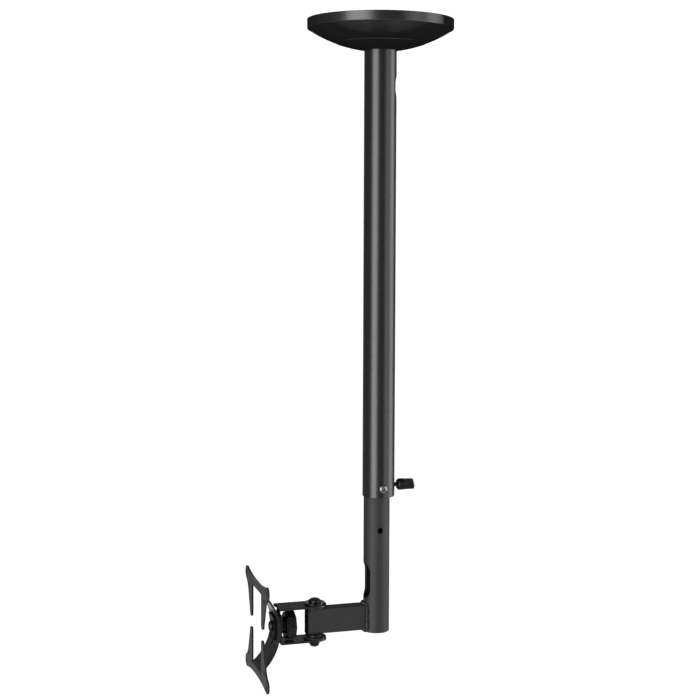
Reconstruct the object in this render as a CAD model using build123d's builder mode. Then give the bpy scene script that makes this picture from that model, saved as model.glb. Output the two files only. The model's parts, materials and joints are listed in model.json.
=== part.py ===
"""Ceiling mount for a small screen: a telescoping drop pole with a swivelling, tilting head.

Frame, in millimetres: the origin is on the axis of the outer tube, on the ceiling, with +Z up.
The arm points along -X, and the lock screw faces -Y.
"""
from build123d import *
from math import atan2, cos, radians, sin, sqrt
import os

os.makedirs("parts", exist_ok=True)

# Clearances
RUN = 0.1            # radial play of what turns or slides on what it fits
FACE = 0.05          # between flat faces that slide on each other
TOUCH = 0.2          # left between a screw's tip and the tube it would clamp

# Ceiling plate, hidden inside the cover
PLATE_D = 116.0
PLATE_T = 3.0
PLATE_SCREW_PCD = 92.0
PLATE_SCREW_D = 6.5
PLATE_SCREWS = 4
CEILING_WELD = 3.5

# Outer tube
OUTER_D = 35.0
OUTER_WALL = 1.2
OUTER_BOTTOM = -514.0
EDGE_ROUND = 0.4

# Cable hole near the ceiling, on the side away from the arm
ENTRY_W = 22.0
ENTRY_H = 27.0
ENTRY_Z = -71.5

# Cover
COVER_D = 157.3
COVER_RIM = 11.3
COVER_DEPTH = 33.0
COVER_WALL = 2.0
COVER_GAP = 0.5
COVER_RIM_ROUND = 2.0
COVER_CREASE_D = 96.0
COVER_CREASE_DEPTH = 25.2
COVER_CREASE_STEP = 0.5
COVER_BOW = 1.0
COVER_NECK_BOW = 0.75
COLLAR_H = 9.0

# Inner tube: the thumb screw pushes it over to the arm's side of the outer tube
TUBE_PLAY = 4.2
INNER_WALL = 1.5
INNER_TOP = -182.0
INNER_BELOW_ARM = 2.7
SIDE_GAP = 0.15
INDEX_D = 6.2
INDEX_PITCH = 46.0
INDEX_BELOW = 1
INDEX_ABOVE = 6
EXIT_W = 20.0
EXIT_H = 40.0
EXIT_OVER_ARM = 40.0

# Lock screw, and the thumb screw with its knob
LOCK_UP = 10.0
LOCK_D = 5.0
LOCK_HEAD_D = 9.4
LOCK_HEAD_H = 2.6
LOCK_KEY = 3.0
THUMB_D = 4.0
THUMB_NUT_AF = 7.0
THUMB_NUT_T = 2.8
THUMB_UP = 11.2
THUMB_STAND = 3.8
THUMB_HUB_D = 12.6
THUMB_HUB_ROOT_D = 10.4
THUMB_HUB_L = 7.0
THUMB_CONE_L = 1.8
THUMB_WING_W = 11.0
THUMB_WING_T = 5.2
THUMB_WING_L = 12.5
THUMB_WING_SLANT = 1.8
THUMB_GRIP_INTO = 13.0

# Arm
ARM_H = 27.6
ARM_W = 14.8
ARM_WALL = 1.5
ARM_ROUND = 2.0
ARM_Z = -646.0
ARM_PAST_BOLT = 8.1
ARM_WELD = 2.4
ARM_WELD_REACH = 3.2
PLUG_FLANGE = 1.3
PLUG_CHAMFER = 0.6
PLUG_WALL = 1.5
PLUG_STEM_GAP = 1.0
PLUG_TONGUE_T = 1.7
PLUG_TONGUE_L = 7.5

# Swivel bracket, its bolt and its washers
SWIVEL_X = -71.5
BRACKET_T = 2.2
BRACKET_W = 25.4
BRACKET_H = 39.0
BRACKET_DROP = 1.5
WEB_X = -112.6
BEND_R = 0.4
RELIEF_W = 8.2
RELIEF_H = 5.2
SHOULDER = 1.6
BOLT_D = 6.0
SWIVEL_HEAD_D = 13.4
SWIVEL_HEAD_H = 4.1
SWIVEL_KEY = 5.0
HEAD_WASHER_D = 21.8
HEAD_WASHER_T = 1.8
NUT_WASHER_D = 14.0
NUT_WASHER_T = 1.4
NUT_AF = 10.0
NUT_H = 5.6
NUT_COLLAR_H = 1.6
BOLT_STUB = 0.6
UPPER_PAD_D = 22.0
LOWER_PAD_D = 24.8
LOWER_PAD_T = 1.4
SPACER_D = 16.0

# Tilt joint: an arched band with a slot, clamped between two saddles by a knob
TILT_DROP = 2.2
KNOB_DROP = 1.3
TILT_RANGE = 15.0
BAND_R = 55.0
SHEET_T = 2.0
BAND_W = 40.0
SLOT_W = 6.4
SADDLE_W = 25.0
SADDLE_H = 27.0
SADDLE_APEX = 1.4
INNER_SADDLE_W = 22.0
INNER_SADDLE_H = 26.0
INNER_SADDLE_T = 2.4
TILT_HEAD_D = 11.0
TILT_HEAD_H = 3.2
KNOB_WASHER_D = 17.5
KNOB_WASHER_T = 1.4
KNOB_HUB_D = 17.4
KNOB_HUB_L = 3.8
KNOB_D = 31.2
KNOB_BACK_L = 1.8
KNOB_L = 9.2
KNOB_SIDES = 8
KNOB_CHAMFER = 1.2
INSERT_AF = 10.0
INSERT_L = 6.0

# Screen plate: two wings with the 75 mm and 100 mm hole patterns, and a finger at each corner
VESA_LARGE = 100.0
VESA_SMALL = 75.0
VESA_HOLE_D = 5.4
EAR_R = 6.2
PLATE_FRONT = -135.8
TOP_DIP = 5.0
SLIT_W = 2.8
SHEET_BEND_R = 3.0
FINGER_TIP = 5.8
FINGER_TIP_HALF = 4.6
FINGER_ROOT = 20.0
FINGER_FLARE = 8.0
NECK_IN = 2.6
EAR_SET_IN = 2.4


def save(part, name):
    """Label a finished piece and write it under that name."""
    part.label = name
    export_step(part, f"parts/{name}.step")
    print(f"{name:24s} {part.volume:10.1f} mm3")


def cylinder_fit(radius, half_width):
    """Distance from a round face's axis to a chord of the given half width."""
    return sqrt(radius**2 - half_width**2)


# Values worked out from the sizes above
outer_r = OUTER_D / 2
outer_bore = outer_r - OUTER_WALL
inner_r = outer_bore - TUBE_PLAY / 2
inner_bore = inner_r - INNER_WALL
inner_x = -(outer_bore - inner_r - SIDE_GAP)
tube_top = -PLATE_T
screw_z = OUTER_BOTTOM + LOCK_UP
thumb_z = OUTER_BOTTOM + THUMB_UP
inner_bottom = ARM_Z - ARM_H / 2 - INNER_BELOW_ARM
exit_z = ARM_Z + EXIT_OVER_ARM
bracket_z = ARM_Z - BRACKET_DROP
tilt_z = bracket_z - TILT_DROP
knob_z = bracket_z - KNOB_DROP
bracket_top = bracket_z + BRACKET_H / 2
bracket_bottom = bracket_z - BRACKET_H / 2
ear_under = bracket_top - BRACKET_T
ear_over = bracket_bottom + BRACKET_T
arm_end = SWIVEL_X - ARM_PAST_BOLT
arm_top = ARM_Z + ARM_H / 2
arm_bottom = ARM_Z - ARM_H / 2
web_inside = WEB_X + BRACKET_T
band_outer = BAND_R + SHEET_T / 2
band_inner = BAND_R - SHEET_T / 2
tilt_x = WEB_X - SADDLE_APEX - band_outer
bolt_hole = BOLT_D / 2 + RUN
slot_half = band_outer * sin(radians(TILT_RANGE)) + SLOT_W / 2 + RUN + abs(knob_z - tilt_z)
print("tilt axis at x =", round(tilt_x, 2), "inner tube offset", round(inner_x, 2))

# Ceiling plate: a steel disc with its screw holes, welded to the top of the tube
with BuildPart() as ceiling_plate:
    with BuildSketch(Plane.XY.offset(-PLATE_T)):
        Circle(PLATE_D / 2)
        with PolarLocations(PLATE_SCREW_PCD / 2, PLATE_SCREWS, start_angle=45):
            Circle(PLATE_SCREW_D / 2, mode=Mode.SUBTRACT)
    extrude(amount=PLATE_T)
    rim = ceiling_plate.edges().filter_by(GeomType.CIRCLE).sort_by(SortBy.RADIUS)[-2:]
    chamfer(rim, 0.5)
save(ceiling_plate.part, "ceiling_plate")

# Weld bead between the plate and the tube
with BuildPart() as ceiling_weld:
    with BuildSketch(Plane.XZ):
        with BuildLine():
            Polyline((outer_r, tube_top), (outer_r + CEILING_WELD, tube_top), (outer_r, tube_top - CEILING_WELD),
                     close=True)
        make_face()
    revolve(axis=Axis.Z)
save(ceiling_weld.part, "ceiling_weld")

# Outer tube, with the cable hole, the lock screw's hole and the thumb screw's hole
with BuildPart() as outer_tube:
    with BuildSketch(Plane.XY.offset(OUTER_BOTTOM)):
        Circle(outer_r)
        Circle(outer_bore, mode=Mode.SUBTRACT)
    extrude(amount=tube_top - OUTER_BOTTOM)
    fillet(outer_tube.edges().group_by(Axis.Z)[0], EDGE_ROUND)
    with BuildSketch(Plane.YZ):
        with Locations((0, ENTRY_Z)):
            SlotOverall(ENTRY_H, ENTRY_W, rotation=90)
    extrude(amount=OUTER_D, mode=Mode.SUBTRACT)
    with BuildSketch(Plane.YZ):
        with Locations((0, thumb_z)):
            Circle(THUMB_D / 2 + RUN)
    extrude(amount=OUTER_D, mode=Mode.SUBTRACT)
    with BuildSketch(Plane.XZ):
        with Locations((0, screw_z)):
            Circle(LOCK_D / 2 + RUN)
    extrude(amount=OUTER_D, mode=Mode.SUBTRACT)
save(outer_tube.part, "outer_tube")

# Nut for the thumb screw, welded inside the wall where the tubes stand apart
nut_corner = THUMB_NUT_AF / sqrt(3)
nut_seat = cylinder_fit(outer_bore, nut_corner) - 0.02
with BuildPart() as thumb_screw_nut:
    with BuildSketch(Plane.YZ.offset(nut_seat - THUMB_NUT_T)):
        with Locations((0, thumb_z)):
            RegularPolygon(nut_corner, 6)
            Circle(THUMB_D / 2 + RUN / 2, mode=Mode.SUBTRACT)
    extrude(amount=THUMB_NUT_T)
save(thumb_screw_nut.part, "thumb_screw_nut")

# Cover: a shallow dish turned from one profile, with a collar that slides on the tube
cover_r = COVER_D / 2
cover_bore = outer_r + RUN
bowl_outer = cover_r - COVER_RIM_ROUND
crease_r = COVER_CREASE_D / 2


def bowed(start, end, bow):
    """Arc between two points, with its middle lowered by the bow."""
    middle = ((start[0] + end[0]) / 2, (start[1] + end[1]) / 2 - bow)
    return ThreePointArc(start, middle, end)


with BuildPart() as ceiling_cover:
    with BuildSketch(Plane.XZ):
        with BuildLine():
            rim = (bowl_outer, -COVER_RIM)
            crease = (crease_r + COVER_CREASE_STEP, -COVER_CREASE_DEPTH)
            crease_foot = (crease_r, -COVER_CREASE_DEPTH - COVER_CREASE_STEP)
            neck = (cover_bore, -COVER_DEPTH)
            Line((cover_r, -COVER_GAP), (cover_r, -COVER_RIM + COVER_RIM_ROUND))
            CenterArc((bowl_outer, -COVER_RIM + COVER_RIM_ROUND), COVER_RIM_ROUND, -90, 90)
            bowed(rim, crease, COVER_BOW)
            Line(crease, crease_foot)
            bowed(crease_foot, neck, COVER_NECK_BOW)
            collar_out = cover_bore + COVER_WALL
            inner_rim = (bowl_outer - COVER_RIM_ROUND / 2, -COVER_RIM + COVER_WALL * 0.7)
            inner_crease = (crease_r, -COVER_CREASE_DEPTH + COVER_WALL * 1.1)
            inner_neck = (collar_out, -COVER_DEPTH + COVER_WALL)
            Line(neck, (cover_bore, -COVER_DEPTH + COLLAR_H))
            Line((cover_bore, -COVER_DEPTH + COLLAR_H), (collar_out, -COVER_DEPTH + COLLAR_H))
            Line((collar_out, -COVER_DEPTH + COLLAR_H), inner_neck)
            bowed(inner_neck, inner_crease, COVER_NECK_BOW)
            bowed(inner_crease, inner_rim, COVER_BOW)
            Line(inner_rim, (cover_r - COVER_WALL, -COVER_RIM + COVER_WALL + COVER_RIM_ROUND / 2))
            Line((cover_r - COVER_WALL, -COVER_RIM + COVER_WALL + COVER_RIM_ROUND / 2),
                 (cover_r - COVER_WALL, -COVER_GAP))
            Line((cover_r - COVER_WALL, -COVER_GAP), (cover_r, -COVER_GAP))
        make_face()
    revolve(axis=Axis.Z)
save(ceiling_cover.part, "ceiling_cover")

# Lock screw: a button head with a hex socket, whose tip bears on the inner tube
lock_tip = cylinder_fit(inner_r, inner_x) + TOUCH
lock_seat = outer_r
with BuildPart() as lock_screw:
    with BuildSketch(Plane.YZ):
        with BuildLine():
            Polyline((-lock_tip, screw_z), (-lock_tip, screw_z + LOCK_D / 2), (-lock_seat, screw_z + LOCK_D / 2),
                     (-lock_seat, screw_z + LOCK_HEAD_D / 2))
            Line((-lock_seat, screw_z + LOCK_HEAD_D / 2), (-lock_seat - 0.5, screw_z + LOCK_HEAD_D / 2))
            ThreePointArc((-lock_seat - 0.5, screw_z + LOCK_HEAD_D / 2),
                          (-lock_seat - LOCK_HEAD_H * 0.78, screw_z + LOCK_HEAD_D * 0.36),
                          (-lock_seat - LOCK_HEAD_H, screw_z + LOCK_HEAD_D * 0.2))
            Polyline((-lock_seat - LOCK_HEAD_H, screw_z + LOCK_HEAD_D * 0.2), (-lock_seat - LOCK_HEAD_H, screw_z),
                     (-lock_tip, screw_z))
        make_face()
    revolve(axis=Axis((0, 0, screw_z), (0, 1, 0)))
    with BuildSketch(Plane.XZ.offset(lock_seat + LOCK_HEAD_H)):
        with Locations((0, screw_z)):
            RegularPolygon(LOCK_KEY / sqrt(3), 6)
    extrude(amount=-LOCK_HEAD_H * 0.65, mode=Mode.SUBTRACT)
save(lock_screw.part, "lock_screw")

# Thumb screw: a plain steel shank, from the inner tube out into the knob
thumb_start = outer_r + THUMB_STAND
thumb_tip = inner_x + inner_r + TOUCH
thumb_end = thumb_start + THUMB_GRIP_INTO
with BuildPart() as thumb_screw:
    with BuildSketch(Plane.YZ.offset(thumb_tip)):
        with Locations((0, thumb_z)):
            Circle(THUMB_D / 2)
    extrude(amount=thumb_end - thumb_tip)
    chamfer(thumb_screw.edges().group_by(Axis.X)[0], 0.5)
save(thumb_screw.part, "thumb_screw")

# Thumb knob: a coned hub that runs into a flat wing with a slanted end
with BuildPart() as thumb_knob:
    with BuildSketch(Plane.XZ):
        with BuildLine():
            Polyline((thumb_start, thumb_z), (thumb_start, thumb_z + THUMB_HUB_ROOT_D / 2),
                     (thumb_start + THUMB_CONE_L, thumb_z + THUMB_HUB_D / 2),
                     (thumb_start + THUMB_HUB_L, thumb_z + THUMB_HUB_D / 2),
                     (thumb_start + THUMB_HUB_L, thumb_z), close=True)
        make_face()
    revolve(axis=Axis((0, 0, thumb_z), (1, 0, 0)))
    wing_start = thumb_start + THUMB_HUB_L - 0.5
    wing_end = thumb_start + THUMB_HUB_L + THUMB_WING_L
    with BuildSketch(Plane.XZ) as wing_outline:
        with BuildLine():
            Polyline((wing_start, thumb_z + THUMB_WING_W / 2),
                     (wing_end - THUMB_WING_SLANT, thumb_z + THUMB_WING_W / 2),
                     (wing_end, thumb_z - THUMB_WING_W * 0.25),
                     (wing_end - THUMB_WING_SLANT * 0.6, thumb_z - THUMB_WING_W / 2),
                     (wing_start, thumb_z - THUMB_WING_W / 2), close=True)
        make_face()
        fillet(wing_outline.vertices().sort_by(Axis.X)[-3:], 0.9)
    extrude(amount=THUMB_WING_T / 2, both=True)
    with BuildSketch(Plane.YZ.offset(thumb_start)):
        with Locations((0, thumb_z)):
            Circle(THUMB_D / 2)
    extrude(amount=THUMB_GRIP_INTO, mode=Mode.SUBTRACT)
save(thumb_knob.part, "thumb_knob")

# Inner tube, with its row of index holes in front and the cable slot on the arm's side
index_z = [screw_z + INDEX_PITCH * i for i in range(-INDEX_BELOW, INDEX_ABOVE + 1)]
with BuildPart() as inner_tube:
    with BuildSketch(Plane.XY.offset(inner_bottom)):
        with Locations((inner_x, 0)):
            Circle(inner_r)
            Circle(inner_bore, mode=Mode.SUBTRACT)
    extrude(amount=INNER_TOP - inner_bottom)
    fillet(inner_tube.edges().group_by(Axis.Z)[0], EDGE_ROUND)
    with BuildSketch(Plane.XZ):
        with Locations(*[(inner_x, z) for z in index_z]):
            Circle(INDEX_D / 2)
    extrude(amount=2 * inner_r, mode=Mode.SUBTRACT)
    with BuildSketch(Plane.YZ.offset(inner_x)):
        with Locations((0, exit_z)):
            SlotOverall(EXIT_H, EXIT_W, rotation=90)
    extrude(amount=-2 * inner_r, mode=Mode.SUBTRACT)
save(inner_tube.part, "inner_tube")

# Arm: a rectangular tube, coped to the round tube that it is welded to
with BuildPart() as arm:
    with BuildSketch(Plane.YZ.offset(arm_end)):
        with Locations((0, ARM_Z)):
            RectangleRounded(ARM_W, ARM_H, ARM_ROUND)
            RectangleRounded(ARM_W - 2 * ARM_WALL, ARM_H - 2 * ARM_WALL, ARM_ROUND - ARM_WALL, mode=Mode.SUBTRACT)
    extrude(amount=inner_x - arm_end)
    with BuildSketch(Plane.XY.offset(arm_bottom - 1)):
        with Locations((inner_x, 0)):
            Circle(inner_r)
    extrude(amount=ARM_H + 2, mode=Mode.SUBTRACT)
    with BuildSketch(Plane.XY.offset(arm_bottom - 1)):
        with Locations((SWIVEL_X, 0)):
            Circle(bolt_hole)
    extrude(amount=ARM_H + 2, mode=Mode.SUBTRACT)
save(arm.part, "arm")

# Weld bead round the arm: wide on the tube, narrowing along the arm, coped to both
weld_root = inner_x - cylinder_fit(inner_r, ARM_W / 2) + 1.0
weld_reach = ARM_WELD_REACH + 1.0
weld_wide = ARM_WELD * weld_reach / ARM_WELD_REACH
with BuildPart() as arm_weld:
    with BuildSketch(Plane(origin=(weld_root, 0, ARM_Z), x_dir=(0, -1, 0), z_dir=(-1, 0, 0))):
        RectangleRounded(ARM_W + 2 * weld_wide, ARM_H + 2 * weld_wide, ARM_ROUND + weld_wide)
    with BuildSketch(Plane(origin=(weld_root - weld_reach, 0, ARM_Z), x_dir=(0, -1, 0), z_dir=(-1, 0, 0))):
        RectangleRounded(ARM_W + 0.2, ARM_H + 0.2, ARM_ROUND + 0.1)
    loft()
    with BuildSketch(Plane.YZ.offset(weld_root - weld_reach - 1)):
        with Locations((0, ARM_Z)):
            RectangleRounded(ARM_W, ARM_H, ARM_ROUND)
    extrude(amount=weld_reach + 2, mode=Mode.SUBTRACT)
    with BuildSketch(Plane.XY.offset(arm_bottom - 2 * ARM_WELD)):
        with Locations((inner_x, 0)):
            Circle(inner_r)
    extrude(amount=ARM_H + 4 * ARM_WELD, mode=Mode.SUBTRACT)
save(arm_weld.part, "arm_weld")

# End plug: a flat cap with a hollow stem in the arm, and a tongue under it that the swivel rubs on
plug_w = ARM_W - 2 * ARM_WALL
plug_h = ARM_H - 2 * ARM_WALL
plug_stem = ARM_PAST_BOLT - BOLT_D / 2 - PLUG_STEM_GAP
tongue_under = arm_bottom - PLUG_TONGUE_T
with BuildPart() as arm_end_plug:
    with BuildSketch(Plane.YZ.offset(arm_end - PLUG_FLANGE)):
        with Locations((0, ARM_Z - PLUG_TONGUE_T / 2)):
            RectangleRounded(ARM_W, ARM_H + PLUG_TONGUE_T, ARM_ROUND)
    extrude(amount=PLUG_FLANGE)
    chamfer(arm_end_plug.edges().group_by(Axis.X)[0], PLUG_CHAMFER)
    with BuildSketch(Plane.YZ.offset(arm_end)):
        with Locations((0, ARM_Z)):
            RectangleRounded(plug_w, plug_h, ARM_ROUND - ARM_WALL)
            RectangleRounded(plug_w - 2 * PLUG_WALL, plug_h - 2 * PLUG_WALL, PLUG_CHAMFER, mode=Mode.SUBTRACT)
    extrude(amount=plug_stem)
    with BuildSketch(Plane.XY.offset(tongue_under)):
        with Locations((arm_end, 0)):
            Rectangle(ARM_PAST_BOLT + PLUG_TONGUE_L, ARM_W - 2 * ARM_ROUND, align=(Align.MIN, Align.CENTER))
        with Locations((SWIVEL_X, 0)):
            Circle(bolt_hole, mode=Mode.SUBTRACT)
    extrude(amount=PLUG_TONGUE_T)
save(arm_end_plug.part, "arm_end_plug")

# Swivel bracket: a strip bent into a U with round ears. Only a neck is bent at the top, so the upper ear
# has a square shoulder at each side of it
ear_length = SWIVEL_X - WEB_X
with BuildPart() as swivel_bracket:
    with BuildSketch(Plane.XZ):
        with BuildLine():
            reach = SWIVEL_X + BRACKET_W / 2
            FilletPolyline((reach, bracket_top - BRACKET_T / 2), (WEB_X + BRACKET_T / 2, bracket_top - BRACKET_T / 2),
                           (WEB_X + BRACKET_T / 2, bracket_bottom + BRACKET_T / 2),
                           (reach, bracket_bottom + BRACKET_T / 2), radius=BEND_R + BRACKET_T / 2)
            offset(amount=BRACKET_T / 2, side=Side.BOTH)
        make_face()
    extrude(amount=BRACKET_W / 2, both=True)
    with BuildSketch(Plane.XY.offset(bracket_bottom - 1)) as ear_outline:
        with Locations((WEB_X - 1, 0)):
            Rectangle(ear_length + 1, BRACKET_W, align=(Align.MIN, Align.CENTER))
        with Locations((SWIVEL_X, 0)):
            Circle(BRACKET_W / 2)
            Circle(bolt_hole, mode=Mode.SUBTRACT)
    extrude(amount=BRACKET_H + 2, mode=Mode.INTERSECT)
    with BuildSketch(Plane.YZ.offset(WEB_X - 1)):
        with Locations((BRACKET_W / 2, ear_under), (-BRACKET_W / 2, ear_under)):
            Rectangle(2 * RELIEF_W, RELIEF_H, align=(Align.CENTER, Align.MAX))
    extrude(amount=BRACKET_T + BEND_R + 2, mode=Mode.SUBTRACT)
    with BuildSketch(Plane.XY.offset(ear_under)):
        with Locations((WEB_X - SHOULDER, 0)):
            Rectangle(SHOULDER + BRACKET_T + BEND_R, BRACKET_W, align=(Align.MIN, Align.CENTER))
            Rectangle(SHOULDER, BRACKET_W - 2 * RELIEF_W, align=(Align.MIN, Align.CENTER), mode=Mode.SUBTRACT)
    extrude(amount=BRACKET_T)
    with BuildSketch(Plane.YZ.offset(WEB_X - 1)):
        with Locations((0, knob_z)):
            Circle(bolt_hole)
    extrude(amount=BRACKET_T + 2, mode=Mode.SUBTRACT)
save(swivel_bracket.part, "swivel_bracket")


def washer(plane, centre, outside, bore, thickness):
    """A plain washer on the given plane, thickened along its normal."""
    with BuildPart() as ring:
        with BuildSketch(plane):
            with Locations(centre):
                Circle(outside / 2)
                Circle(bore / 2, mode=Mode.SUBTRACT)
        extrude(amount=thickness)
    return ring.part


# Washers on the swivel bolt
bolt_bore = BOLT_D + 2 * RUN
swivel_at = (SWIVEL_X, 0)
upper_pad_t = ear_under - arm_top - FACE
spacer_t = tongue_under - FACE - LOWER_PAD_T - ear_over
head_base = bracket_top + HEAD_WASHER_T
nut_top = bracket_bottom - NUT_WASHER_T
save(washer(Plane.XY.offset(bracket_top), swivel_at, HEAD_WASHER_D, bolt_bore, HEAD_WASHER_T), "head_washer")
save(washer(Plane.XY.offset(nut_top), swivel_at, NUT_WASHER_D, bolt_bore, NUT_WASHER_T), "nut_washer")
save(washer(Plane.XY.offset(arm_top + FACE), swivel_at, UPPER_PAD_D, bolt_bore, upper_pad_t), "upper_friction_pad")
save(washer(Plane.XY.offset(ear_over), swivel_at, LOWER_PAD_D, bolt_bore, LOWER_PAD_T), "lower_friction_pad")
save(washer(Plane.XY.offset(ear_over + LOWER_PAD_T), swivel_at, SPACER_D, bolt_bore, spacer_t), "pad_spacer")

# Swivel bolt: a round head with a hex socket, and a shank down through both ears
with BuildPart() as swivel_bolt:
    with BuildSketch(Plane.XZ):
        with BuildLine():
            shank = Polyline((SWIVEL_X, nut_top - NUT_H - BOLT_STUB),
                             (SWIVEL_X + BOLT_D / 2, nut_top - NUT_H - BOLT_STUB),
                             (SWIVEL_X + BOLT_D / 2, head_base), (SWIVEL_X + SWIVEL_HEAD_D / 2, head_base),
                             (SWIVEL_X + SWIVEL_HEAD_D / 2, head_base + SWIVEL_HEAD_H * 0.3))
            dome = ThreePointArc(shank @ 1, (SWIVEL_X + SWIVEL_HEAD_D * 0.38, head_base + SWIVEL_HEAD_H * 0.83),
                                 (SWIVEL_X + SWIVEL_HEAD_D * 0.24, head_base + SWIVEL_HEAD_H))
            Polyline(dome @ 1, (SWIVEL_X, head_base + SWIVEL_HEAD_H), shank @ 0)
        make_face()
    revolve(axis=Axis((SWIVEL_X, 0, 0), (0, 0, 1)))
    with BuildSketch(Plane.XY.offset(head_base + SWIVEL_HEAD_H)):
        with Locations(swivel_at):
            RegularPolygon(SWIVEL_KEY / sqrt(3), 6)
    extrude(amount=-SWIVEL_HEAD_H * 0.6, mode=Mode.SUBTRACT)
save(swivel_bolt.part, "swivel_bolt")

# Swivel nut: a hexagon with the round collar of a self-locking nut below it
with BuildPart() as swivel_nut:
    with BuildSketch(Plane.XY.offset(nut_top - NUT_H + NUT_COLLAR_H)):
        with Locations(swivel_at):
            RegularPolygon(NUT_AF / sqrt(3), 6)
    extrude(amount=NUT_H - NUT_COLLAR_H)
    with BuildSketch(Plane.XY.offset(nut_top - NUT_H)):
        with Locations(swivel_at):
            Circle(NUT_AF / 2 - 0.3)
    extrude(amount=NUT_COLLAR_H)
    fillet(swivel_nut.edges().group_by(Axis.Z)[0], 0.7)
    with BuildSketch(Plane.XY.offset(nut_top - NUT_H)):
        with Locations(swivel_at):
            Circle(BOLT_D / 2)
    extrude(amount=NUT_H, mode=Mode.SUBTRACT)
save(swivel_nut.part, "swivel_nut")

# Outer saddle: flat on the bracket's web, hollowed to the round back of the arched band
saddle_start = tilt_x + BAND_R * 0.8
with BuildPart() as outer_saddle:
    with BuildSketch(Plane.YZ.offset(saddle_start)):
        with Locations((0, knob_z)):
            RectangleRounded(SADDLE_W, SADDLE_H, 2)
            Circle(bolt_hole, mode=Mode.SUBTRACT)
    extrude(amount=WEB_X - saddle_start)
    with BuildSketch(Plane.XZ):
        with Locations((tilt_x, tilt_z)):
            Circle(band_outer + FACE)
    extrude(amount=SADDLE_W, both=True, mode=Mode.SUBTRACT)
save(outer_saddle.part, "outer_saddle")

# Inner saddle: a curved plate on the band's hollow side, with a flat round seat for the bolt head
saddle_inside = band_inner - FACE - INNER_SADDLE_T
head_seat = tilt_x + cylinder_fit(saddle_inside, TILT_HEAD_D / 2 + abs(knob_z - tilt_z))
with BuildPart() as inner_saddle:
    with BuildSketch(Plane.XZ):
        with Locations((tilt_x, tilt_z)):
            Circle(band_inner - FACE)
            Circle(saddle_inside, mode=Mode.SUBTRACT)
    extrude(amount=INNER_SADDLE_W / 2, both=True)
    with BuildSketch(Plane.YZ.offset(tilt_x)):
        with Locations((0, knob_z)):
            RectangleRounded(INNER_SADDLE_W, INNER_SADDLE_H, 2)
    extrude(amount=BAND_R, mode=Mode.INTERSECT)
    with BuildSketch(Plane.YZ.offset(head_seat)):
        with Locations((0, knob_z)):
            Circle(TILT_HEAD_D / 2 + 1)
    extrude(amount=tilt_x + saddle_inside - head_seat + INNER_SADDLE_T / 2)
    with BuildSketch(Plane.YZ.offset(head_seat - 1)):
        with Locations((0, knob_z)):
            Circle(bolt_hole)
    extrude(amount=BAND_R, mode=Mode.SUBTRACT)
save(inner_saddle.part, "inner_saddle")

# Tilt bolt: a low round head inside the band, and a shank out into the knob
knob_start = web_inside + KNOB_WASHER_T
knob_end = knob_start + KNOB_HUB_L + KNOB_BACK_L + KNOB_L
bolt_end = knob_end - 2.0
with BuildPart() as tilt_bolt:
    with BuildSketch(Plane.YZ.offset(head_seat - TILT_HEAD_H)):
        with Locations((0, knob_z)):
            Circle(TILT_HEAD_D / 2)
    extrude(amount=TILT_HEAD_H)
    fillet(tilt_bolt.edges().group_by(Axis.X)[0], TILT_HEAD_H * 0.7)
    with BuildSketch(Plane.YZ.offset(head_seat)):
        with Locations((0, knob_z)):
            Circle(BOLT_D / 2)
    extrude(amount=bolt_end - head_seat)
    chamfer(tilt_bolt.edges().group_by(Axis.X)[-1], 0.5)
save(tilt_bolt.part, "tilt_bolt")

# Washer between the web and the knob
save(washer(Plane.YZ.offset(web_inside + FACE), (0, knob_z), KNOB_WASHER_D, bolt_bore, KNOB_WASHER_T - FACE),
     "knob_washer")

# Tilt knob: a hub, a round back and an eight-sided grip with a chamfered end, moulded round a hex nut
back_start = knob_start + KNOB_HUB_L
grip_start = back_start + KNOB_BACK_L
back_r = KNOB_D / 2 * cos(radians(180 / KNOB_SIDES)) - KNOB_CHAMFER / 4
with BuildPart() as tilt_knob:
    with BuildSketch(Plane.YZ.offset(grip_start)):
        with Locations((0, knob_z)):
            RegularPolygon(KNOB_D / 2, KNOB_SIDES)
    extrude(amount=KNOB_L)
    chamfer(tilt_knob.faces().sort_by(Axis.X)[-1].edges(), KNOB_CHAMFER)
    with BuildSketch(Plane.YZ.offset(back_start)):
        with Locations((0, knob_z)):
            Circle(back_r)
    extrude(amount=KNOB_BACK_L)
    chamfer(tilt_knob.edges().filter_by(GeomType.CIRCLE).sort_by(Axis.X)[0], KNOB_CHAMFER / 2)
    with BuildSketch(Plane.YZ.offset(knob_start)):
        with Locations((0, knob_z)):
            Circle(KNOB_HUB_D / 2)
    extrude(amount=KNOB_HUB_L)
    with BuildSketch(Plane.YZ.offset(knob_start)):
        with Locations((0, knob_z)):
            Circle(BOLT_D / 2 + RUN)
    extrude(amount=knob_end - knob_start - 1.5, mode=Mode.SUBTRACT)
    with BuildSketch(Plane.YZ.offset(knob_start)):
        with Locations((0, knob_z)):
            RegularPolygon(INSERT_AF / sqrt(3), 6)
    extrude(amount=INSERT_L, mode=Mode.SUBTRACT)
save(tilt_knob.part, "tilt_knob")

# Hex nut moulded into the knob's hub
with BuildPart() as knob_nut:
    with BuildSketch(Plane.YZ.offset(knob_start)):
        with Locations((0, knob_z)):
            RegularPolygon(INSERT_AF / sqrt(3), 6)
            Circle(BOLT_D / 2 + RUN / 2, mode=Mode.SUBTRACT)
    extrude(amount=INSERT_L)
save(knob_nut.part, "knob_nut")

# Screen plate: one stamped sheet, two wings joined only by the arched band between them
plate_mid = PLATE_FRONT + SHEET_T / 2
hole = VESA_LARGE / 2
small = VESA_SMALL / 2
band_half = BAND_W / 2
finger_in = band_half + SLIT_W
bend_x = plate_mid + SHEET_BEND_R
bend_z = sqrt((BAND_R + SHEET_BEND_R) ** 2 - (bend_x - tilt_x) ** 2)
bend_angle = atan2(bend_z, bend_x - tilt_x)
wing_edge = bend_z + SHEET_T


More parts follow.
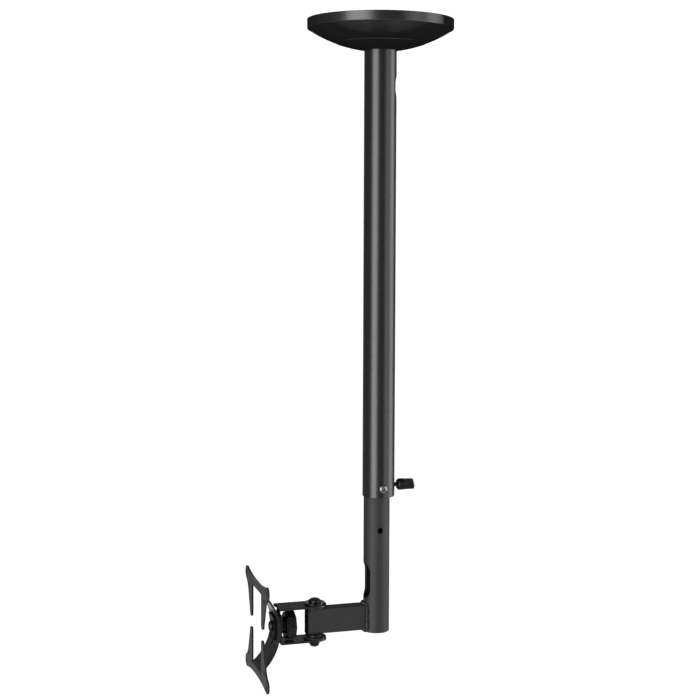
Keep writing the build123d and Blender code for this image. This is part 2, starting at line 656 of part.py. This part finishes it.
def band_points(side):
    """Points down one face of the sheet: the wing's edge, through the bend, to the arch."""
    shift = side * SHEET_T / 2
    bend_r = SHEET_BEND_R - shift
    face_x = plate_mid + shift
    return [(face_x, wing_edge), (face_x, bend_z),
            (bend_x - bend_r * cos(bend_angle / 2), bend_z - bend_r * sin(bend_angle / 2)),
            (bend_x - bend_r * cos(bend_angle), bend_z - bend_r * sin(bend_angle)),
            (tilt_x + BAND_R + shift, 0)]


tilt_plane = Plane(origin=(0, 0, tilt_z), x_dir=(1, 0, 0), z_dir=(0, -1, 0))
plate_plane = Plane(origin=(PLATE_FRONT, 0, tilt_z), x_dir=(0, 1, 0), z_dir=(1, 0, 0))
finger_x = finger_in + FINGER_TIP_HALF
finger_out = finger_x + FINGER_TIP_HALF
finger_root = FINGER_TIP + FINGER_TIP_HALF
with BuildPart() as screen_plate:
    with BuildSketch(tilt_plane):
        with BuildLine():
            outer = band_points(1)
            inner = band_points(-1)
            Line(outer[0], outer[1])
            ThreePointArc(outer[1], outer[2], outer[3])
            ThreePointArc(outer[3], outer[4], (outer[3][0], -outer[3][1]))
            ThreePointArc((outer[3][0], -outer[3][1]), (outer[2][0], -outer[2][1]), (outer[1][0], -outer[1][1]))
            Line((outer[1][0], -outer[1][1]), (outer[0][0], -outer[0][1]))
            Line((outer[0][0], -outer[0][1]), (inner[0][0], -inner[0][1]))
            Line((inner[0][0], -inner[0][1]), (inner[1][0], -inner[1][1]))
            ThreePointArc((inner[1][0], -inner[1][1]), (inner[2][0], -inner[2][1]), (inner[3][0], -inner[3][1]))
            ThreePointArc((inner[3][0], -inner[3][1]), inner[4], inner[3])
            ThreePointArc(inner[3], inner[2], inner[1])
            Line(inner[1], inner[0])
            Line(inner[0], outer[0])
        make_face()
    extrude(amount=band_half, both=True)
    with BuildSketch(plate_plane):
        with Locations((0, 0)):
            SlotOverall(2 * slot_half, SLOT_W, rotation=90)
    extrude(amount=WEB_X - PLATE_FRONT, mode=Mode.SUBTRACT)
    with BuildSketch(plate_plane):
        with BuildLine():
            top = hole + EAR_R
            ear_side = hole + EAR_R * 0.95
            root = (finger_out + FINGER_FLARE, finger_root + FINGER_ROOT)
            neck = (hole + EAR_R * 0.3, hole - EAR_R - 1)
            Line((0, wing_edge), (band_half, wing_edge))
            ThreePointArc((band_half, wing_edge), (band_half + SLIT_W / 2, wing_edge + SLIT_W / 2),
                          (finger_in, wing_edge))
            Line((finger_in, wing_edge), (finger_in, finger_root))
            ThreePointArc((finger_in, finger_root), (finger_x, FINGER_TIP), (finger_out, finger_root))
            Line((finger_out, finger_root), root)
            ThreePointArc(root, ((root[0] + neck[0]) / 2 - NECK_IN / 2, (root[1] + neck[1]) / 2 + NECK_IN / 2), neck)
            ThreePointArc(neck, (ear_side - 0.6, hole - EAR_R * 0.6), (ear_side, hole - EAR_R * 0.1))
            ThreePointArc((ear_side, hole - EAR_R * 0.1), (hole + EAR_R * 0.56, hole + EAR_R * 0.7),
                          (hole - EAR_SET_IN, top - 0.4))
            ThreePointArc((hole - EAR_SET_IN, top - 0.4), (hole * 0.56, top - TOP_DIP * 0.76), (0, top - TOP_DIP))
            mirror(about=Plane.YZ)
        make_face()
        with Locations((hole, hole), (-hole, hole), (small, small), (-small, small)):
            Circle(VESA_HOLE_D / 2, mode=Mode.SUBTRACT)
    wing = extrude(amount=SHEET_T)
    mirror(wing, about=Plane.XY.offset(tilt_z))
save(screen_plate.part, "screen_plate")
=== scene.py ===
# %% [markdown]
# A ceiling mount for a small screen
#
# The CAD model gives every solid its true shape, size and place. This lesson dresses it: a camera where
# the photographer stood, soft studio light, a finish for each material, and two small forms that the CAD
# leaves out, the ripples of a weld and the thread of a screw.

# %% Load the frame
import json
from math import cos, pi, radians, sin

import bpy
from mathutils import Euler, Matrix, Vector


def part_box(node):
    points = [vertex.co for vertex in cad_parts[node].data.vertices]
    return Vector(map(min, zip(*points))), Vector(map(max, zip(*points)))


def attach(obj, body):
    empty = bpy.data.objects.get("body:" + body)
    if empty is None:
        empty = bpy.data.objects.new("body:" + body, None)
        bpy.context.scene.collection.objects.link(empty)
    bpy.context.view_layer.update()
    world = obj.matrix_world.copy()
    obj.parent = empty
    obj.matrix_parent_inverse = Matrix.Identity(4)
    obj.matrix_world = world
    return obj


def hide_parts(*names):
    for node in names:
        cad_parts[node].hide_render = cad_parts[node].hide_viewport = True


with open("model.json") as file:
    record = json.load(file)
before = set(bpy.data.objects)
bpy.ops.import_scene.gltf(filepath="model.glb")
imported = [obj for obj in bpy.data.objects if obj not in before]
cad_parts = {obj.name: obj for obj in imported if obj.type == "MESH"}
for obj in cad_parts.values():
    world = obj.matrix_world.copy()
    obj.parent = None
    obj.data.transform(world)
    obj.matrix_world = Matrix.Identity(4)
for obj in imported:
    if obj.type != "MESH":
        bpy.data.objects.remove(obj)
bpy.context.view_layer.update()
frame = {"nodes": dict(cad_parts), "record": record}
nodes = frame["nodes"]
scene = bpy.context.scene

# %% [markdown]
# The camera
#
# The photograph was taken with a long lens, from a little to the arm's side and well above the arm. The
# lens looks past the middle of the picture, as it does when a picture is cropped from a larger one, and a
# small shift says by how much. A standard 36 mm sensor is kept, so the focal length reads like a real
# lens.

# %% Place the camera
CAMERA_PLACE = (-0.46027, -1.48144, -0.20472)
LOOK_DOWN = radians(3.30)
LOOK_ASIDE = radians(-17.08)
CAMERA_ROLL = radians(0.27)
LENS_MM = 73.90
SENSOR_MM = 36.0
SHIFT_ASIDE = -0.0355
SHIFT_UP = -0.0800
FARTHEST_SEEN = 50.0

bpy.ops.object.camera_add(location=CAMERA_PLACE)
camera = bpy.context.object
camera.name = "photo_camera"
camera.data.lens = LENS_MM
camera.data.sensor_width = SENSOR_MM
camera.data.shift_x = SHIFT_ASIDE
camera.data.shift_y = SHIFT_UP
camera.data.clip_end = FARTHEST_SEEN
level = Euler((radians(90) - LOOK_DOWN, 0.0, LOOK_ASIDE)).to_matrix()
camera.rotation_euler = (level @ Matrix.Rotation(CAMERA_ROLL, 3, "Z")).to_euler()
scene.camera = camera
print("camera at", tuple(round(v, 3) for v in camera.location))

# %% [markdown]
# The studio
#
# The mount hangs over a pale floor, in front of a roll of white paper that sweeps up into a wall, so no
# corner shows. The roll is made from a plane, whose far edge is pulled up in edit mode and rounded with a
# bevel. It stands well back and is only as large as the picture needs: satin black shows its shape by
# what it mirrors, and a near or wide white wall would turn every face that is seen edge on to grey.

# %% Hang the paper behind the mount
FLOOR_HEIGHT = -2.6
PAPER_LEFT = -0.35
PAPER_RIGHT = 5.65
PAPER_FRONT = 4.3
PAPER_BACK = 8.6
PAPER_TOP = 1.64
SWEEP_RADIUS = 2.3
SWEEP_FACES = 16
ON_THE_EDGE = 0.01


def nothing_selected():
    """Leaves object mode with no object selected."""
    if bpy.context.object and bpy.context.object.mode != "OBJECT":
        bpy.ops.object.mode_set(mode="OBJECT")
    bpy.ops.object.select_all(action="DESELECT")


def select_corners(mesh, wanted):
    """Selects, in object mode, the corners whose place fits the test, and nothing else."""
    for face in mesh.polygons:
        face.select = False
    for edge in mesh.edges:
        edge.select = False
    for corner in mesh.vertices:
        corner.select = wanted(corner.co)


def at_the_back(place):
    """Whether a corner of the paper is on its far edge."""
    return place.y > PAPER_BACK - ON_THE_EDGE


def at_the_sweep(place):
    """Whether a corner of the paper is where the floor meets the wall."""
    return at_the_back(place) and place.z < FLOOR_HEIGHT + ON_THE_EDGE


nothing_selected()
bpy.ops.mesh.primitive_plane_add(size=1.0)
paper = bpy.context.object
paper.name = "studio_paper"
paper.scale = (PAPER_RIGHT - PAPER_LEFT, PAPER_BACK - PAPER_FRONT, 1.0)
paper.location = ((PAPER_LEFT + PAPER_RIGHT) / 2, (PAPER_BACK + PAPER_FRONT) / 2, FLOOR_HEIGHT)
bpy.ops.object.transform_apply(location=True, rotation=True, scale=True)
select_corners(paper.data, at_the_back)
bpy.ops.object.mode_set(mode="EDIT")
bpy.ops.mesh.select_mode(type="VERT")
wall_height = PAPER_TOP - FLOOR_HEIGHT
bpy.ops.mesh.extrude_edges_move(TRANSFORM_OT_translate={"value": (0.0, 0.0, wall_height)})
bpy.ops.object.mode_set(mode="OBJECT")
select_corners(paper.data, at_the_sweep)
bpy.ops.object.mode_set(mode="EDIT")
bpy.ops.mesh.bevel(offset=SWEEP_RADIUS, offset_pct=0, segments=SWEEP_FACES, affect="EDGES")
bpy.ops.object.mode_set(mode="OBJECT")
bpy.ops.object.shade_smooth()
print("paper has", len(paper.data.polygons), "faces")

# %% [markdown]
# The paper has to come out white, but more light on it would also be more light on the mount. So it is
# plain pale paper to every light, and adds a glow of its own that only the camera, mirrors and clear
# things meet. The floor under the mount has far less of that glow, so it stays pale from every side and
# keeps the mount's shadow.


# %% Make a helper for surfaces that glow to the camera
def glowing(name, grey, strength):
    """A matt surface with a glow that lights nothing: only camera, mirror and see-through rays meet it."""
    material = bpy.data.materials.new(name)
    material.use_nodes = True
    tree = material.node_tree
    tree.nodes.clear()
    matt = tree.nodes.new("ShaderNodeBsdfDiffuse")
    matt.inputs["Color"].default_value = (grey, grey, grey, 1.0)
    ray = tree.nodes.new("ShaderNodeLightPath")
    seen = ray.outputs["Is Camera Ray"]
    for kind in ("Is Glossy Ray", "Is Transmission Ray"):
        either = tree.nodes.new("ShaderNodeMath")
        either.operation = "MAXIMUM"
        tree.links.new(seen, either.inputs[0])
        tree.links.new(ray.outputs[kind], either.inputs[1])
        seen = either.outputs[0]
    lift = tree.nodes.new("ShaderNodeMath")
    lift.operation = "MULTIPLY"
    lift.inputs[1].default_value = strength
    tree.links.new(seen, lift.inputs[0])
    glow = tree.nodes.new("ShaderNodeEmission")
    tree.links.new(lift.outputs[0], glow.inputs["Strength"])
    both = tree.nodes.new("ShaderNodeAddShader")
    tree.links.new(matt.outputs[0], both.inputs[0])
    tree.links.new(glow.outputs[0], both.inputs[1])
    finished = tree.nodes.new("ShaderNodeOutputMaterial")
    tree.links.new(both.outputs[0], finished.inputs["Surface"])
    print(name, "has", len(tree.nodes), "nodes")
    return material


# %% Paint the paper
paper.data.materials.append(glowing("white_paper", grey=0.55, strength=0.98))

# %% Lay the floor
FLOOR_WIDE = 16.0
FLOOR_UNDER_PAPER = 0.002

nothing_selected()
bpy.ops.mesh.primitive_plane_add(size=FLOOR_WIDE, location=(0.0, 0.0, FLOOR_HEIGHT - FLOOR_UNDER_PAPER))
floor = bpy.context.object
floor.name = "studio_floor"
floor.data.materials.append(glowing("pale_floor", grey=0.72, strength=0.16))
print("floor lies", -FLOOR_HEIGHT, "m under the ceiling")

# %% [markdown]
# The light comes from tall soft boxes, because a tall box draws one clean streak down a tube. The
# brightest stands to the left of the camera, the next far to the right, and a weak one between them. The
# gaps are left dark. A low and wide one, above and in front, is weaker still and lights what faces up.
#
# Each box is placed by its angle to the right of the camera as the mount sees it, which is also twice the
# angle of the place on a tube where its streak appears.

# %% Set the soft boxes
SUBJECT = Vector((-0.03, 0.0, -0.38))
TO_CAMERA = Vector((-0.293, -0.956, 0.0))
TO_RIGHT = Vector((0.956, -0.293, 0.0))


def soft_box(name, turn, distance, wide, tall, radiance, rise=0.0):
    """Adds a soft box that faces the mount.

    turn is in degrees to the right of the camera, rise is how far the box stands above the mount's middle,
    and radiance is how bright its face looks.
    """
    direction = TO_CAMERA * cos(radians(turn)) + TO_RIGHT * sin(radians(turn))
    place = SUBJECT + direction * distance + Vector((0.0, 0.0, rise))
    bpy.ops.object.light_add(type="AREA", location=place)
    box = bpy.context.object
    box.name = name
    box.data.shape = "RECTANGLE"
    box.data.size = wide
    box.data.size_y = tall
    box.data.energy = radiance * wide * tall * pi
    box.rotation_euler = (place - SUBJECT).to_track_quat("Z", "Y").to_euler()
    print(name, "stands at", tuple(round(v, 2) for v in place))


soft_box("key_box", turn=-34, distance=2.2, wide=1.50, tall=2.4, radiance=6.5)
soft_box("side_box", turn=95, distance=2.2, wide=1.50, tall=2.4, radiance=3.7)
soft_box("fill_box", turn=54, distance=2.6, wide=1.25, tall=2.2, radiance=2.0)
soft_box("top_box", turn=-10, distance=1.4, wide=2.0, tall=0.7, radiance=1.0, rise=1.5)

# %% Fill the room with a little light
ROOM_LIGHT = 0.13

room = bpy.data.worlds.new("studio_room")
scene.world = room
room.use_nodes = True
air = room.node_tree.nodes["Background"]
air.inputs["Color"].default_value = (1.0, 1.0, 1.0, 1.0)
air.inputs["Strength"].default_value = ROOM_LIGHT
scene.view_settings.view_transform = "Standard"
print("room light", ROOM_LIGHT)

# %% [markdown]
# The finishes
#
# Most of the mount is steel under a satin black powder coat. Powder melts into a skin with a fine orange
# peel, so the finish is nearly smooth, with low bumps about a millimetre across and a finer grain on top.
# The inner tube and the arm have a coarser coat. The moulded parts are blacks of their own, from the
# cover's satin to the end plug's matt. The fasteners are blackened, apart from the zinc plated lock screw
# and two hidden nuts.
#
# Each finish is one helper call with its own numbers, and reads Object coordinates, so its grain has a
# real size in metres and stays on the part when it moves. In the photograph, faces that are seen edge on
# are darker than the shader makes them, so some finishes lose part of their gloss, or all, at such an
# angle.


# %% Make helpers for the nodes that every finish has
def noise(tree, place, scale, detail):
    """A noise over the given coordinates. Returns its grey output."""
    texture = tree.nodes.new("ShaderNodeTexNoise")
    texture.inputs["Scale"].default_value = scale
    texture.inputs["Detail"].default_value = detail
    tree.links.new(place, texture.inputs["Vector"])
    return texture.outputs["Fac"]


def spread(tree, value, low, high, start=0.0, stop=1.0):
    """Stretches a value that runs from start to stop, so that it runs from low to high."""
    ramp = tree.nodes.new("ShaderNodeMapRange")
    ramp.inputs["From Min"].default_value = start
    ramp.inputs["From Max"].default_value = stop
    ramp.inputs["To Min"].default_value = low
    ramp.inputs["To Max"].default_value = high
    tree.links.new(value, ramp.inputs["Value"])
    return ramp.outputs["Result"]


def bumped(tree, height, strength, depth):
    """A bump of the given depth in metres. Returns the node, as its own Normal input is still free."""
    bump = tree.nodes.new("ShaderNodeBump")
    bump.inputs["Strength"].default_value = strength
    bump.inputs["Distance"].default_value = depth
    tree.links.new(height, bump.inputs["Height"])
    return bump


# %% Make a helper for grained finishes
CLOUD_SCALE = 60.0
PEEL_DEPTH = 0.0002
GRAIN_DEPTH = 0.0001
EDGE_SAMPLES = 6


def grained(name, colour, roughness, metal=0.0, peel=0.0, peel_scale=700.0, grain=0.0, grain_scale=3000.0,
            mottle=0.15, rough_spread=0.06, edge=0.0, specular=0.5, graze=1.0,
            graze_from=0.42, graze_to=0.80):
    """A finish with colour mottle, uneven roughness, and two sizes of bump.

    edge is the rounding seen on edges. graze is the share of the gloss that is left where a face is seen edge
    on, and it falls to that between graze_from and graze_to, which go from 0 face on to 1 edge on.
    """
    material = bpy.data.materials.new(name)
    material.use_nodes = True
    tree = material.node_tree
    links = tree.links
    shader = tree.nodes["Principled BSDF"]
    shader.inputs["Metallic"].default_value = metal
    shader.inputs["Specular IOR Level"].default_value = specular
    place = tree.nodes.new("ShaderNodeTexCoord").outputs["Object"]
    # A Mix node of colours has its factor on input 0, its colours on 6 and 7, and its result on output 2.
    shade = tree.nodes.new("ShaderNodeMix")
    shade.data_type = "RGBA"
    shade.blend_type = "MULTIPLY"
    shade.inputs[0].default_value = 1.0
    shade.inputs[6].default_value = (*colour, 1.0)
    cloud = noise(tree, place, CLOUD_SCALE, detail=4.0)
    links.new(spread(tree, cloud, 1.0 - mottle, 1.0 + mottle), shade.inputs[7])
    links.new(shade.outputs[2], shader.inputs["Base Color"])
    speck = noise(tree, place, grain_scale, detail=3.0)
    uneven = spread(tree, speck, roughness - rough_spread, roughness + rough_spread)
    links.new(uneven, shader.inputs["Roughness"])
    low = bumped(tree, noise(tree, place, peel_scale, detail=2.0), peel, PEEL_DEPTH)
    fine = bumped(tree, speck, grain, GRAIN_DEPTH)
    links.new(low.outputs["Normal"], fine.inputs["Normal"])
    links.new(fine.outputs["Normal"], shader.inputs["Normal"])
    if graze < 1.0:
        aside = tree.nodes.new("ShaderNodeLayerWeight")
        aside.inputs["Blend"].default_value = 0.5
        gloss = spread(tree, aside.outputs["Facing"], specular, specular * graze, graze_from, graze_to)
        links.new(gloss, shader.inputs["Specular IOR Level"])
    if edge > 0.0:
        rounding = tree.nodes.new("ShaderNodeBevel")
        rounding.samples = EDGE_SAMPLES
        rounding.inputs["Radius"].default_value = edge
        links.new(rounding.outputs["Normal"], low.inputs["Normal"])
    print(name, "has", len(tree.nodes), "nodes")
    return material


# %% Mix the powder coats
powder_coat = grained("satin_powder_coat", (0.008, 0.008, 0.0083), roughness=0.29, peel=0.35, grain=0.25,
                      edge=0.0004)
textured_coat = grained("textured_powder_coat", (0.012, 0.012, 0.0124), roughness=0.58, peel=0.3, grain=0.6,
                        grain_scale=1800.0, mottle=0.25, edge=0.0004, specular=0.42)
dark_coat = grained("shaded_powder_coat", (0.008, 0.008, 0.0083), roughness=0.34, peel=0.3, grain=0.4,
                    edge=0.0004, specular=0.42, graze=0.0, graze_to=0.75)

# %% Mix the metals of the fasteners
zinc = grained("zinc_plate", (0.20, 0.20, 0.195), roughness=0.30, metal=1.0, peel=0.1, grain=0.3, mottle=0.2,
               edge=0.0002)
blackened = grained("blackened_steel", (0.005, 0.005, 0.0052), roughness=0.28, peel=0.1, grain=0.2,
                    edge=0.0003, specular=0.4, graze=0.3)

# %% Mix the moulded blacks
moulded_black = grained("moulded_black", (0.006, 0.006, 0.006), roughness=0.40, peel=0.15, grain=0.5,
                        grain_scale=2200.0, edge=0.0004)
dull_disc = grained("dull_friction_disc", (0.010, 0.010, 0.010), roughness=0.55, grain=0.4, edge=0.0002,
                    specular=0.3)
cover_satin = grained("satin_moulding", (0.011, 0.011, 0.011), roughness=0.27, peel=0.15, grain=0.3,
                      edge=0.0004, graze=0.0, graze_from=0.24, graze_to=0.50)
deep_black = grained("deep_black_moulding", (0.002, 0.002, 0.002), roughness=0.36, peel=0.1, grain=0.3,
                     edge=0.0004, specular=0.25, graze=0.3)
plug_black = grained("matt_black_plug", (0.0015, 0.0015, 0.0015), roughness=0.50, grain=0.3, edge=0.0003,
                     specular=0.2, graze=0.0, graze_from=0.25, graze_to=0.60)

# %% Give each CAD node its finish
FINISHES = {
    "powder_coat": powder_coat,
    "zinc_steel": zinc,
    "black_steel": blackened,
    "black_plastic": moulded_black,
    "pad_plastic": dull_disc,
}
OWN_FINISHES = {
    "inner_tube": textured_coat,
    "arm": textured_coat,
    "arm_weld": textured_coat,
    "swivel_bracket": dark_coat,
    "ceiling_cover": cover_satin,
    "arm_end_plug": plug_black,
    "tilt_knob": deep_black,
    "inner_saddle": deep_black,
    "outer_saddle": deep_black,
    "thumb_knob": deep_black,
    "thumb_screw": blackened,
}
subparts = frame["record"]["subparts"]
for subpart in subparts:
    name = subpart["node"]
    finish = OWN_FINISHES.get(name, FINISHES[subpart["material_slot"]])
    for holder in nodes[name].material_slots:
        holder.material = finish
print("finished", len(subparts), "nodes")

# %% [markdown]
# What the CAD leaves out
#
# The arm is welded to the tube by hand, and such a bead is a row of small overlapping ripples. One ripple
# is a flattened ball, drawn in a little at its crown. It is copied along the seam, which runs round the
# arm's outline on the tube's curved wall, and the copies differ a little in size and lean. The bead takes
# the place of the plain one in the CAD.

# %% Model one weld ripple
RIPPLE_RADIUS = 0.0019
RIPPLE_SEGMENTS = 14
RIPPLE_RINGS = 9
RIPPLE_FLAT = 0.62
RIPPLE_LONG = 1.12
RIPPLE_CROWN = 0.35
CROWN_NARROW = 0.92


def on_the_crown(place):
    """Whether a corner of the ripple is near its top."""
    return place.z > RIPPLE_CROWN * RIPPLE_RADIUS * RIPPLE_FLAT


nothing_selected()
bpy.ops.mesh.primitive_uv_sphere_add(segments=RIPPLE_SEGMENTS, ring_count=RIPPLE_RINGS, radius=RIPPLE_RADIUS)
first_ripple = bpy.context.object
bpy.ops.object.mode_set(mode="EDIT")
bpy.ops.mesh.select_all(action="SELECT")
bpy.ops.transform.resize(value=(RIPPLE_LONG, 1.0, RIPPLE_FLAT))
bpy.ops.mesh.select_all(action="DESELECT")
bpy.ops.object.mode_set(mode="OBJECT")
select_corners(first_ripple.data, on_the_crown)
bpy.ops.object.mode_set(mode="EDIT")
bpy.ops.transform.resize(value=(CROWN_NARROW, CROWN_NARROW, 1.0))
bpy.ops.object.mode_set(mode="OBJECT")
print("a ripple has", len(first_ripple.data.polygons), "faces")

# %% Follow the seam
ARM_ROUND = 0.0020
RIPPLE_OUT = 0.0008

arm_low, arm_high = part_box("arm")
tube_low, tube_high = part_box("inner_tube")
tube_x = (tube_low.x + tube_high.x) / 2
tube_r = (tube_high.y - tube_low.y) / 2
half_wide = (arm_high.y - arm_low.y) / 2
half_tall = (arm_high.z - arm_low.z) / 2
middle_z = (arm_high.z + arm_low.z) / 2
seam_length = 4 * (half_tall + half_wide - 2 * ARM_ROUND) + 2 * pi * ARM_ROUND


def seam(distance):
    """Where the seam is after a distance along it.

    Returns the place just outside the arm's outline, as Y and Z from its middle, and the seam's turn there in
    degrees.
    """
    side = 2 * (half_tall - ARM_ROUND)
    flat = 2 * (half_wide - ARM_ROUND)
    bend = ARM_ROUND * pi / 2
    runs = ((side, 1, 1, 0), (flat, -1, 1, 90), (side, -1, -1, 180), (flat, 1, -1, 270))
    for length, right, up, turn in runs:
        if distance <= length + bend:
            short = max(0.0, length - distance)
            turn += 90 * max(0.0, distance - length) / bend
            centre = Vector((right * (half_wide - ARM_ROUND), up * (half_tall - ARM_ROUND)))
            out = Vector((cos(radians(turn)), sin(radians(turn))))
            back = Vector((sin(radians(turn)), -cos(radians(turn))))
            return centre + out * (ARM_ROUND + RIPPLE_OUT) + back * short, turn
        distance -= length + bend


print("the seam is", round(seam_length * 1000, 1), "mm long")

# %% Lay the ripples along the seam
RIPPLE_STEP = 0.00140
RIPPLE_LEAN = 10
TURN_WAVE = (9, 1.7)
LEAN_WAVE = (6, 2.3)
SIZE_WAVE = (0.09, 2.9)
SLOW_SIZE_WAVE = (0.05, 0.8)


def wave(number, reach, pace):
    """Swings between -reach and reach as the ripples are counted, by pace radians from one to the next."""
    return reach * sin(number * pace)


count = round(seam_length / RIPPLE_STEP)
wall_r = tube_r + RIPPLE_OUT
ripples = []
for number in range(count):
    place, turn = seam(number * seam_length / count)
    ripple = first_ripple.copy()
    ripple.data = first_ripple.data.copy()
    scene.collection.objects.link(ripple)
    wall_x = tube_x - (wall_r * wall_r - place.x * place.x) ** 0.5
    ripple.location = (wall_x, place.x, middle_z + place.y)
    turned = radians(turn + wave(number, *TURN_WAVE))
    leaned = radians(RIPPLE_LEAN + wave(number, *LEAN_WAVE))
    ripple.rotation_euler = (turned, leaned, 0.0)
    grown = 1.0 + wave(number, *SIZE_WAVE) + wave(number, *SLOW_SIZE_WAVE)
    ripple.scale = (grown, grown, 1.0)
    ripples.append(ripple)
print("laid", count, "ripples")

# %% Join the ripples into one bead
nothing_selected()
first_ripple.select_set(True)
bpy.ops.object.delete()
for ripple in ripples:
    ripple.select_set(True)
bpy.context.view_layer.objects.active = ripples[0]
bpy.ops.object.join()
weld_bead = bpy.context.object
weld_bead.name = "rippled_weld"
bpy.ops.object.transform_apply(location=True, rotation=True, scale=True)
bpy.ops.object.shade_smooth()
weld_bead.data.materials.append(powder_coat)
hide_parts("arm_weld")
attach(weld_bead, "drop")
print("the bead has", len(weld_bead.data.polygons), "faces")

# %% [markdown]
# The thumb screw's bare shank shows its thread between the tube and the knob. The thread is one small
# triangle wound round the shank by a screw modifier. It starts a little off the tube, so the two don't
# touch as it turns.

# %% Wind the thumb screw's thread
THREAD_PITCH = 0.0007
THREAD_RIDGE = 0.00032
THREAD_OFF_TUBE = 0.0004
THREAD_OFF_SHANK = 0.00005
THREAD_STEPS = 32
SHARPEST_SMOOTH = radians(30)

shank_low, shank_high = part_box("thumb_screw")
knob_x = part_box("thumb_knob")[0].x
outer_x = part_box("outer_tube")[1].x
shank_r = (shank_high.y - shank_low.y) / 2
shank_z = (shank_high.z + shank_low.z) / 2
start = (outer_x + THREAD_OFF_TUBE, 0.0, shank_z + shank_r + THREAD_OFF_SHANK)
nothing_selected()
bpy.ops.mesh.primitive_circle_add(vertices=3, radius=THREAD_RIDGE, fill_type="NOTHING", location=start,
                                  rotation=(radians(90), 0.0, 0.0))
thread = bpy.context.object
thread.name = "thumb_screw_thread"
bpy.ops.object.transform_apply(location=True, rotation=True, scale=True)
scene.cursor.location = (0.0, 0.0, shank_z)
bpy.ops.object.origin_set(type="ORIGIN_CURSOR")
scene.cursor.location = (0.0, 0.0, 0.0)
winding = thread.modifiers.new("winding", "SCREW")
winding.axis = "X"
winding.screw_offset = THREAD_PITCH
winding.iterations = int((knob_x - outer_x) / THREAD_PITCH)
winding.steps = THREAD_STEPS
winding.render_steps = THREAD_STEPS
bpy.ops.object.modifier_apply(modifier="winding")
bpy.ops.object.transform_apply(location=True, rotation=True, scale=True)
print("thread has", len(thread.data.polygons), "faces")

# %% Turn the thread's faces outwards and finish it
bpy.ops.object.mode_set(mode="EDIT")
bpy.ops.mesh.select_all(action="SELECT")
bpy.ops.mesh.normals_make_consistent(inside=False)
bpy.ops.object.mode_set(mode="OBJECT")
bpy.ops.object.shade_smooth_by_angle(angle=SHARPEST_SMOOTH)
thread.data.materials.append(blackened)
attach(thread, "thumb")
print("thread rides with the thumb screw")
